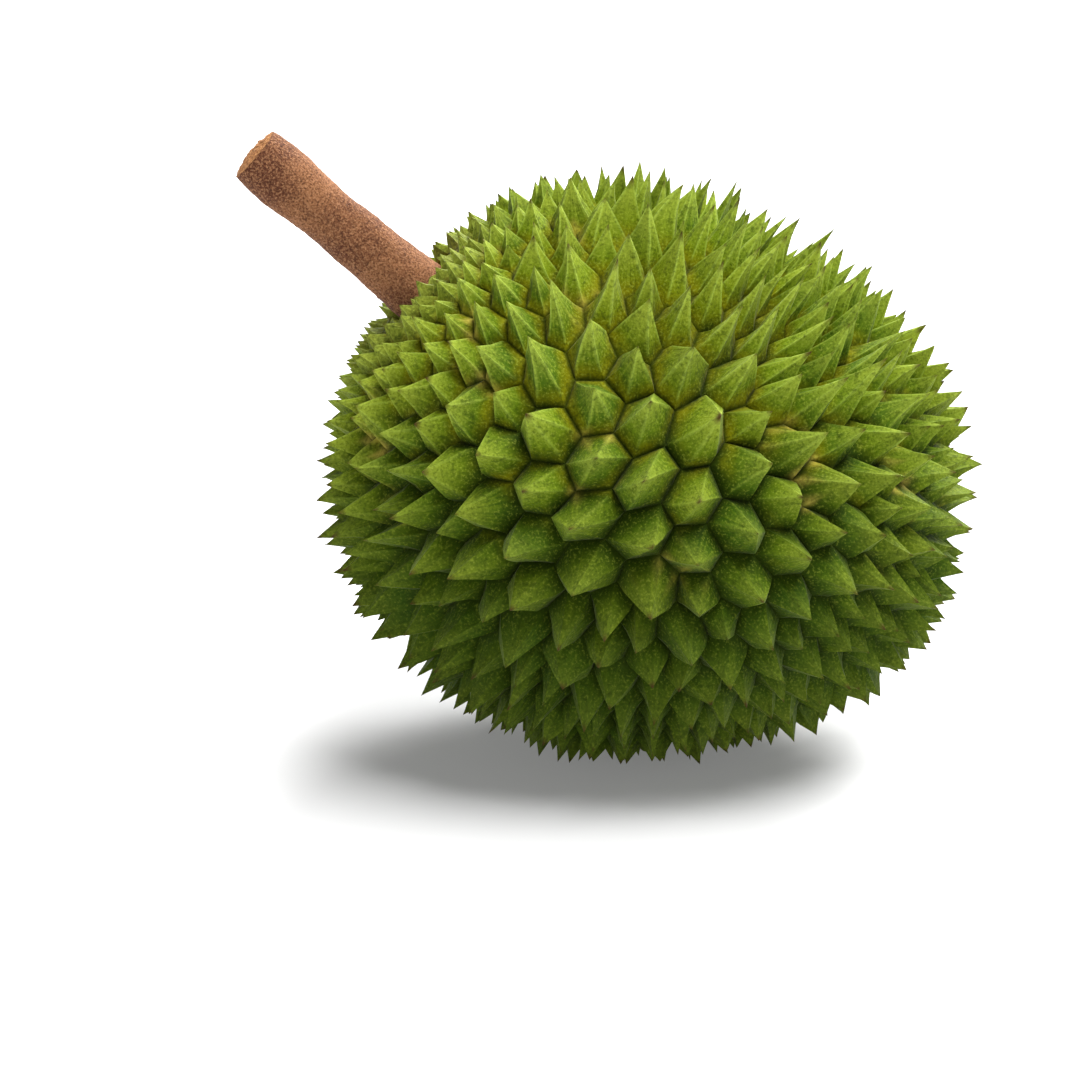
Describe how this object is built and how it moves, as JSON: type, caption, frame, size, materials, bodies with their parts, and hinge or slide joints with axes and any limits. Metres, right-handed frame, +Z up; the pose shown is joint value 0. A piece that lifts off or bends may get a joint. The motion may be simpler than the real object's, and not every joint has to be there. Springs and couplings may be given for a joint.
{
  "type": "durian",
  "caption": "Whole durian lying on its side: a green husk covered in sharp pointed thorns, with a short cut length of its thick brown stalk.",
  "frame": {"origin": "on the surface that the fruit lies on, under the middle of the outline of the whole object, stalk included", "axes": "+X along the longest way, from the stalk's side towards the far end, +Z up, +Y away from the flank shown in front; the stalk leans towards -X and up"},
  "size_m": [0.2566, 0.2068, 0.2179],
  "materials": {
    "husk": "matt, tough and waxy green rind",
    "stalk": "rough corky bark"
  },
  "bodies": {
    "root": {"husk": "husk", "stalk": "stalk"}
  },
  "joints": []
}
